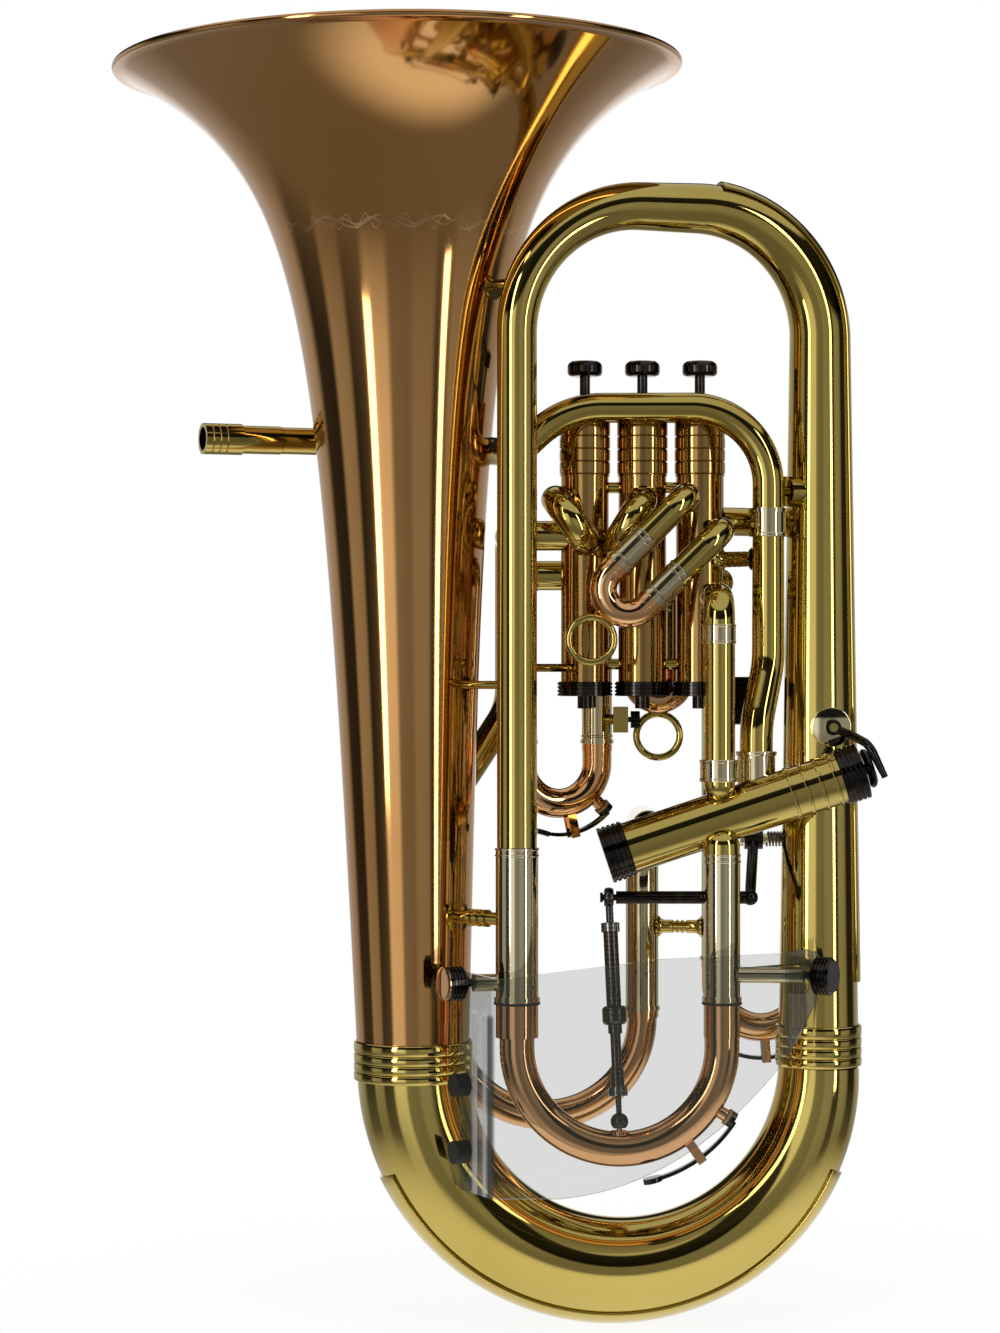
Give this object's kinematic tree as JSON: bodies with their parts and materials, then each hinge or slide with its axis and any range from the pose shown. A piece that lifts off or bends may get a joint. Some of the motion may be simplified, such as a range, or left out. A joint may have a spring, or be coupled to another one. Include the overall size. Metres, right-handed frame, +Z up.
{
  "type": "euphonium",
  "caption": "Upright conical brass wind horn with piston valves, a side valve, pull-out tuning slides, a thumb trigger for the main slide and a clear shield in front of it",
  "frame": {"origin": "lowest point of the bottom bow, midway between the bell axis and the outer branch, where the horn rests in the player's lap", "axes": "+Z up toward the bell mouth, +X from the bell to the outer branch, +Y from the tuning slide side to the back"},
  "size_m": [0.4103, 0.3056, 0.6772],
  "materials": {
    "gold_brass": "clear lacquered gold brass, polished",
    "yellow_brass": "clear lacquered yellow brass, polished",
    "rose_brass": "clear lacquered rose brass, polished",
    "nickel_silver": "polished nickel silver",
    "black_nickel": "glossy black nickel plate on brass",
    "steel": "bright steel",
    "clear_acrylic": "clear acrylic, polished edges",
    "black_rubber": "matt black rubber"
  },
  "bodies": {
    "horn": {"bell": "gold_brass", "bow_ferrules": "yellow_brass", "bottom_bow": "yellow_brass", "bow_guard": "yellow_brass", "outer_branch": "yellow_brass", "top_bow": "yellow_brass", "branch_guard": "yellow_brass", "main_sleeves": "nickel_silver", "leadpipe": "yellow_brass", "receiver": "yellow_brass", "leadpipe_ferrules": "nickel_silver", "casing_1": "yellow_brass", "casing_2": "yellow_brass", "casing_3": "yellow_brass", "casing_4": "yellow_brass", "top_caps": "yellow_brass", "bottom_caps": "black_nickel", "side_caps": "black_nickel", "valve_knuckles": "yellow_brass", "valve_link": "yellow_brass", "first_sleeves": "nickel_silver", "second_sleeves": "nickel_silver", "third_sleeves": "nickel_silver", "fourth_sleeves": "nickel_silver", "front_sleeves": "nickel_silver", "fourth_branch": "yellow_brass", "braces": "yellow_brass", "guard_plate": "clear_acrylic", "guard_arms": "nickel_silver", "guard_bumpers": "black_rubber", "lyre_box": "yellow_brass", "trigger_shaft": "nickel_silver", "trigger_spring": "steel", "spring_1": "steel", "spring_2": "steel", "spring_3": "steel", "spring_4": "steel"},
    "valve_1": {"piston_1": "nickel_silver", "button_1": "black_nickel"},
    "valve_2": {"piston_2": "nickel_silver", "button_2": "black_nickel"},
    "valve_3": {"piston_3": "nickel_silver", "button_3": "black_nickel"},
    "valve_4": {"piston_4": "nickel_silver", "button_4": "black_nickel"},
    "tuning_slide": {"main_slide": "rose_brass"},
    "trigger": {"trigger_lever": "black_nickel"},
    "push_rod": {"pushrod": "steel"},
    "slide_1": {"first_slide": "rose_brass"},
    "slide_2": {"second_slide": "rose_brass"},
    "slide_3": {"third_slide": "rose_brass"},
    "slide_4": {"fourth_slide": "rose_brass"},
    "slide_front": {"front_slide": "rose_brass"},
    "water_key_main": {"main_water_key": "black_nickel"},
    "water_key_first": {"first_water_key": "black_nickel"},
    "water_key_third": {"third_water_key": "black_nickel"},
    "hook": {"valve_hook": "black_nickel"},
    "lyre_clamp": {"lyre_screw": "black_nickel"},
    "knob_left": {"guard_knob_left": "black_nickel"},
    "knob_right": {"guard_knob_right": "black_nickel"}
  },
  "joints": [
    {"name": "valve_1_press", "type": "slide", "parent": "horn", "child": "valve_1", "axis": [0, 0, -1], "range_m": [0, 0.016], "stiffness_N_per_m": 220, "springref_m": -0.02, "deforming": ["spring_1"]},
    {"name": "valve_2_press", "type": "slide", "parent": "horn", "child": "valve_2", "axis": [0, 0, -1], "range_m": [0, 0.016], "stiffness_N_per_m": 220, "springref_m": -0.02, "deforming": ["spring_2"]},
    {"name": "valve_3_press", "type": "slide", "parent": "horn", "child": "valve_3", "axis": [0, 0, -1], "range_m": [0, 0.016], "stiffness_N_per_m": 220, "springref_m": -0.02, "deforming": ["spring_3"]},
    {"name": "valve_4_rise", "type": "slide", "parent": "horn", "child": "valve_4", "axis": [0.9489, 0, 0.3156], "range_m": [0, 0.015], "deforming": ["spring_4"]},
    {"name": "trigger_turn", "type": "hinge", "parent": "horn", "child": "trigger", "pos_m": [0.075, 0.015, 0.2574], "axis": [1, 0, 0], "range_deg": [0, 20], "stiffness_Nm_per_rad": 1.5, "springref_deg": -17.19},
    {"name": "tuning_slide_out", "type": "slide", "parent": "horn", "child": "tuning_slide", "axis": [0, 0, -1], "range_m": [0, 0.0105]},
    {"name": "push_rod_swing", "type": "hinge", "parent": "tuning_slide", "child": "push_rod", "pos_m": [0.00025, -0.045, 0.1126], "axis": [-1, 0, 0], "range_deg": [0, 6.3]},
    {"name": "slide_1_pull", "type": "slide", "parent": "horn", "child": "slide_1", "axis": [0, 0, -1], "range_m": [0, 0.05]},
    {"name": "slide_2_pull", "type": "slide", "parent": "horn", "child": "slide_2", "axis": [0, 0, -1], "range_m": [0, 0.018]},
    {"name": "slide_3_pull", "type": "slide", "parent": "horn", "child": "slide_3", "axis": [0, 0, -1], "range_m": [0, 0.06]},
    {"name": "slide_4_pull", "type": "slide", "parent": "horn", "child": "slide_4", "axis": [0, 0, -1], "range_m": [0, 0.04]},
    {"name": "slide_front_pull", "type": "slide", "parent": "horn", "child": "slide_front", "axis": [-0.7071, 0, -0.7071], "range_m": [0, 0.015]},
    {"name": "water_key_main_open", "type": "hinge", "parent": "tuning_slide", "child": "water_key_main", "pos_m": [0.04245, -0.045, 0.09371], "axis": [0, 1, 0], "range_deg": [0, 12], "stiffness_Nm_per_rad": 0.15, "springref_deg": -17.19},
    {"name": "water_key_first_open", "type": "hinge", "parent": "slide_1", "child": "water_key_first", "pos_m": [-0.02241, 0.02393, 0.26022], "axis": [-0.3305, 0.9438, 0], "range_deg": [0, 12], "stiffness_Nm_per_rad": 0.15, "springref_deg": -17.19},
    {"name": "water_key_third_open", "type": "hinge", "parent": "slide_3", "child": "water_key_third", "pos_m": [0.08353, 0.036, 0.13645], "axis": [0, 1, 0], "range_deg": [0, 12], "stiffness_Nm_per_rad": 0.15, "springref_deg": -17.19},
    {"name": "hook_swing", "type": "hinge", "parent": "horn", "child": "hook", "pos_m": [0.1134, -0.03, 0.3186], "axis": [0, -1, 0], "range_deg": [0, 60]},
    {"name": "lyre_screw_turn", "type": "hinge", "parent": "horn", "child": "lyre_clamp", "pos_m": [0.008, 0.0146, 0.322], "axis": [1, 0, 0], "continuous": true},
    {"name": "knob_left_turn", "type": "hinge", "parent": "horn", "child": "knob_left", "pos_m": [-0.07695, -0.04789, 0.1855], "axis": [-0.893, -0.45, 0], "continuous": true},
    {"name": "knob_right_turn", "type": "hinge", "parent": "horn", "child": "knob_right", "pos_m": [0.09746, -0.04832, 0.1895], "axis": [0.8772, -0.4801, 0], "continuous": true}
  ],
  "couplings": [
    {"joint": "tuning_slide_out", "follows": "trigger_turn", "m_per_rad": 0.0298},
    {"joint": "push_rod_swing", "follows": "trigger_turn", "ratio": 0.31}
  ]
}
